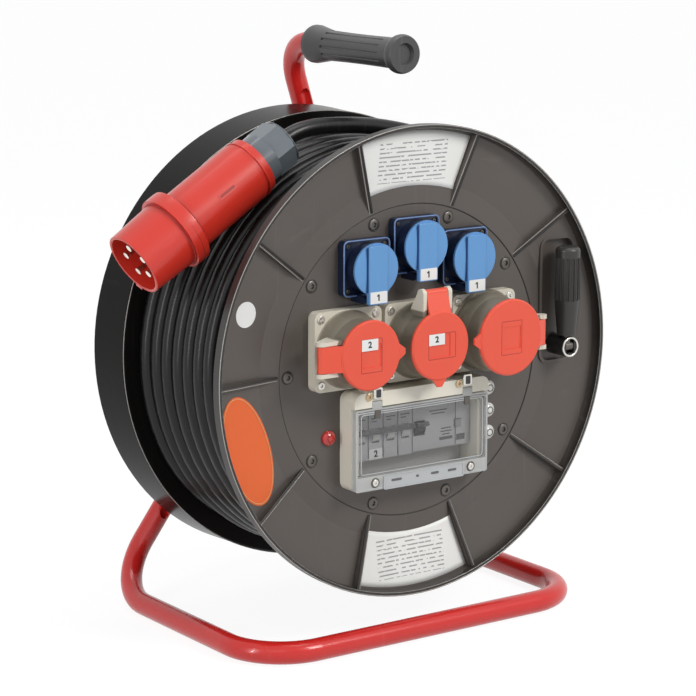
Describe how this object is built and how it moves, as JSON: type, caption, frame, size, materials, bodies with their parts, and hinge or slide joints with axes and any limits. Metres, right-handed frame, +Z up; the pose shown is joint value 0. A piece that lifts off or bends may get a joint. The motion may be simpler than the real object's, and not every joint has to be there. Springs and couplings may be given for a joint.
{
  "type": "extension cable reel",
  "caption": "Extension cable reel: a plastic drum with sockets and a breaker box on its front turns on a bent tube stand with a carrying grip, its round plug laid on the wound cable.",
  "frame": {"origin": "on the floor, under the middle of the reel's box without its plug and the cable's free end", "axes": "+X to the reel's right as its socket panel is looked at, +Y from the panel to the stand's back, +Z up; the drum's axle lies along Y"},
  "size_m": [0.5149, 0.3234, 0.579],
  "materials": {
    "red_tube": "gloss",
    "grip_rubber": "matt",
    "steel": "zinc plated",
    "drum_plastic": "satin, moulded",
    "cable_rubber": "satin rubber sheath",
    "plug_red": "satin gloss",
    "plug_dark": "satin",
    "pin_brass": "nickelled",
    "navy": "satin",
    "blue": "satin gloss",
    "beige": "satin",
    "coral": "satin gloss",
    "carrier_black": "satin",
    "cream": "satin gloss",
    "smoke": "clear, smoky",
    "device_grey": "satin",
    "toggle_white": "gloss",
    "lever_black": "gloss",
    "button_yellow": "gloss",
    "lamp_white": "translucent",
    "lamp_red": "translucent",
    "knob_black": "satin"
  },
  "bodies": {
    "stand": {"frame_base": "red_tube", "frame_arm": "red_tube", "frame_upright": "red_tube", "grip": "grip_rubber", "axle": "steel", "axle_spacer": "steel", "axle_washer": "steel", "axle_nut": "steel", "cable_tail": "cable_rubber", "plug_shell": "plug_red", "plug_core": "plug_dark", "plug_pins": "pin_brass", "plug_nut": "plug_dark"},
    "drum": {"front_flange": "drum_plastic", "panel_disc": "drum_plastic", "barrel": "drum_plastic", "rear_flange": "drum_plastic", "cable_core": "cable_rubber", "cable_winding": "cable_rubber", "box_housing": "cream", "mcb_block": "device_grey", "rcd_block": "device_grey", "mounting_rail": "steel", "pilot_lamp_1": "lamp_white", "pilot_lamp_2": "lamp_white", "pilot_lamp_3": "lamp_white", "fault_lamp": "lamp_red", "crank_bracket": "knob_black", "mains_base_left": "navy", "mains_base_middle": "navy", "mains_base_right": "navy", "cee_housing_left": "beige", "cee_carrier_left": "carrier_black", "cee_housing_middle": "beige", "cee_carrier_middle": "carrier_black", "cee_housing_right": "beige", "cee_carrier_right": "carrier_black"},
    "crank_arm": {"crank_stem": "steel"},
    "crank_knob": {"crank_knob": "knob_black"},
    "box_window": {"box_window": "smoke"},
    "mcb_levers": {"mcb_toggles": "toggle_white", "mcb_tie_bar": "lever_black"},
    "rcd_lever": {"rcd_lever": "lever_black"},
    "test_button": {"test_button": "button_yellow"},
    "mains_lid_left": {"mains_lid_left": "blue"},
    "mains_lid_middle": {"mains_lid_middle": "blue"},
    "mains_lid_right": {"mains_lid_right": "blue"},
    "cee_lid_left": {"cee_lid_left": "coral"},
    "cee_lid_middle": {"cee_lid_middle": "coral"},
    "cee_lid_right": {"cee_lid_right": "coral"}
  },
  "joints": [
    {"name": "drum_spin", "type": "hinge", "parent": "stand", "child": "drum", "pos_m": [0, 0.07615, 0.269], "axis": [0, -1, 0], "continuous": true},
    {"name": "crank_fold", "type": "hinge", "parent": "drum", "child": "crank_arm", "pos_m": [0.1815, -0.12385, 0.265], "axis": [1, 0, 0], "range_deg": [0, 90]},
    {"name": "crank_knob_spin", "type": "hinge", "parent": "crank_arm", "child": "crank_knob", "pos_m": [0.1815, -0.12385, 0.319], "axis": [0, 0, 1], "continuous": true},
    {"name": "box_window_hinge", "type": "hinge", "parent": "drum", "child": "box_window", "pos_m": [-0.0025, -0.12805, 0.2377], "axis": [-1, 0, 0], "range_deg": [0, 90]},
    {"name": "mcb_lever_tilt", "type": "hinge", "parent": "drum", "child": "mcb_levers", "pos_m": [-0.0375, -0.10885, 0.202], "axis": [1, 0, 0], "range_deg": [0, 50]},
    {"name": "rcd_lever_tilt", "type": "hinge", "parent": "drum", "child": "rcd_lever", "pos_m": [0.0059, -0.10885, 0.202], "axis": [1, 0, 0], "range_deg": [0, 50]},
    {"name": "test_button_push", "type": "slide", "parent": "drum", "child": "test_button", "axis": [0, 1, 0], "range_m": [0, 0.0024], "stiffness_N_per_m": 300, "springref_m": -0.001},
    {"name": "mains_lid_left_hinge", "type": "hinge", "parent": "drum", "child": "mains_lid_left", "pos_m": [-0.0585, -0.12625, 0.338], "axis": [1, 0, 0], "range_deg": [0, 80], "stiffness_Nm_per_rad": 0.02, "springref_deg": -20.05},
    {"name": "mains_lid_middle_hinge", "type": "hinge", "parent": "drum", "child": "mains_lid_middle", "pos_m": [0, -0.12625, 0.3545], "axis": [1, 0, 0], "range_deg": [0, 80], "stiffness_Nm_per_rad": 0.02, "springref_deg": -20.05},
    {"name": "mains_lid_right_hinge", "type": "hinge", "parent": "drum", "child": "mains_lid_right", "pos_m": [0.0585, -0.12625, 0.338], "axis": [1, 0, 0], "range_deg": [0, 80], "stiffness_Nm_per_rad": 0.02, "springref_deg": -20.05},
    {"name": "cee_lid_left_hinge", "type": "hinge", "parent": "drum", "child": "cee_lid_left", "pos_m": [-0.131, -0.14485, 0.291], "axis": [0, 0, -1], "range_deg": [0, 95], "stiffness_Nm_per_rad": 0.04, "springref_deg": -20.05},
    {"name": "cee_lid_middle_hinge", "type": "hinge", "parent": "drum", "child": "cee_lid_middle", "pos_m": [0, -0.14485, 0.341], "axis": [-1, 0, 0], "range_deg": [0, 80], "stiffness_Nm_per_rad": 0.04, "springref_deg": -20.05},
    {"name": "cee_lid_right_hinge", "type": "hinge", "parent": "drum", "child": "cee_lid_right", "pos_m": [0.1245, -0.15335, 0.291], "axis": [0, 0, 1], "range_deg": [0, 95], "stiffness_Nm_per_rad": 0.04, "springref_deg": -20.05}
  ]
}
